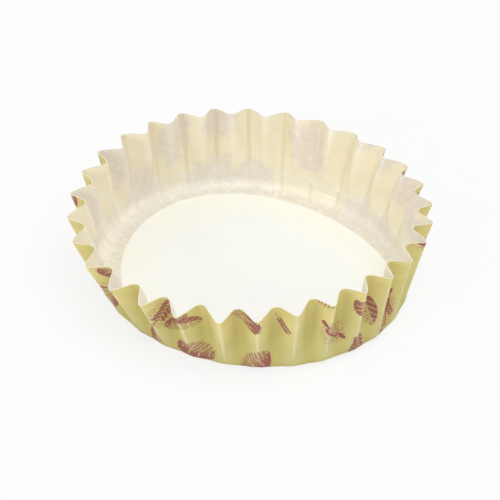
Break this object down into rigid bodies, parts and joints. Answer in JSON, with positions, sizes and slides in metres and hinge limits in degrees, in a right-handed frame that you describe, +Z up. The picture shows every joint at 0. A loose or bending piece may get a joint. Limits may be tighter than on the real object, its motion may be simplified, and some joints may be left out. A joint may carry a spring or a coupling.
{
  "type": "cupcake liner",
  "caption": "Shallow round baking liner of lined paper, with a flat floor and a wall gathered into fluted pleats.",
  "frame": {"origin": "middle of the underside of the floor, which the liner stands on", "axes": "+Z up, out of the open side; the pleats are even round Z apart from a slight crowding towards +X"},
  "size_m": [0.0818, 0.0819, 0.0192],
  "materials": {
    "lined_paper": "pale yellow paper outside with a scattered dark red print, cream and slightly glossy film lining inside"
  },
  "bodies": {
    "root": {"liner": "lined_paper"}
  },
  "joints": []
}
